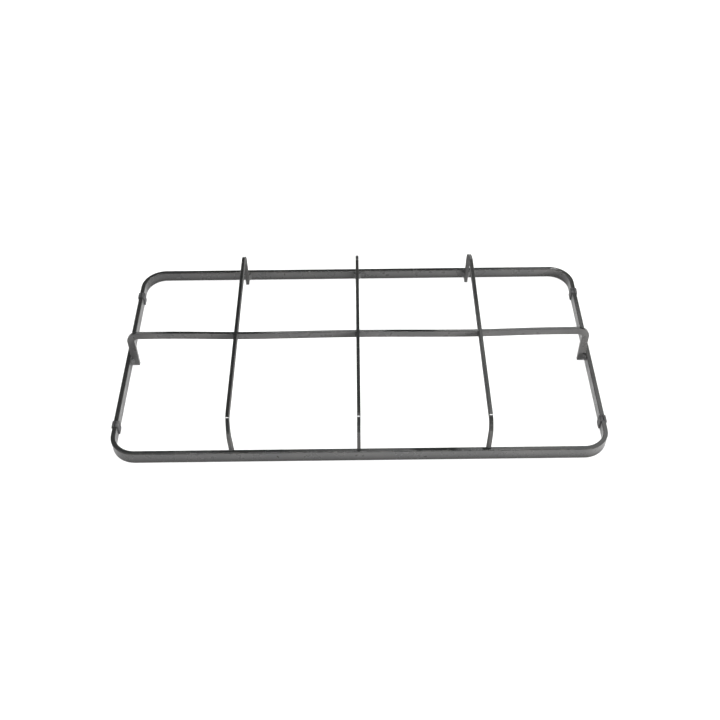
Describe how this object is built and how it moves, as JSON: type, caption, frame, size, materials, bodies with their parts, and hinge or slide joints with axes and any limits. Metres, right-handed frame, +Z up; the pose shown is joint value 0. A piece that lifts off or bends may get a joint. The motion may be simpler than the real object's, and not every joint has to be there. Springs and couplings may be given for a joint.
{
  "type": "hob pan support",
  "caption": "Low rectangular pan support of enamelled steel strip: a rounded frame carrying crossed flat bars with bent-down ends, standing on clip-on rubber feet over a pair of gas burners.",
  "frame": {"origin": "on the surface that the feet stand on, below the middle of the frame", "axes": "+X to the right along the long side, +Y to the back across the hob, +Z up"},
  "size_m": [0.4824, 0.255, 0.0462],
  "materials": {
    "enamelled_steel": "glossy dark grey vitreous enamel",
    "foot_rubber": "satin black"
  },
  "bodies": {
    "root": {"perimeter_frame": "enamelled_steel", "long_bar": "enamelled_steel", "cross_bar_left": "enamelled_steel", "cross_bar_middle": "enamelled_steel", "cross_bar_right": "enamelled_steel", "foot_front_left": "foot_rubber", "foot_front_right": "foot_rubber", "foot_back_left": "foot_rubber", "foot_back_right": "foot_rubber"}
  },
  "joints": []
}
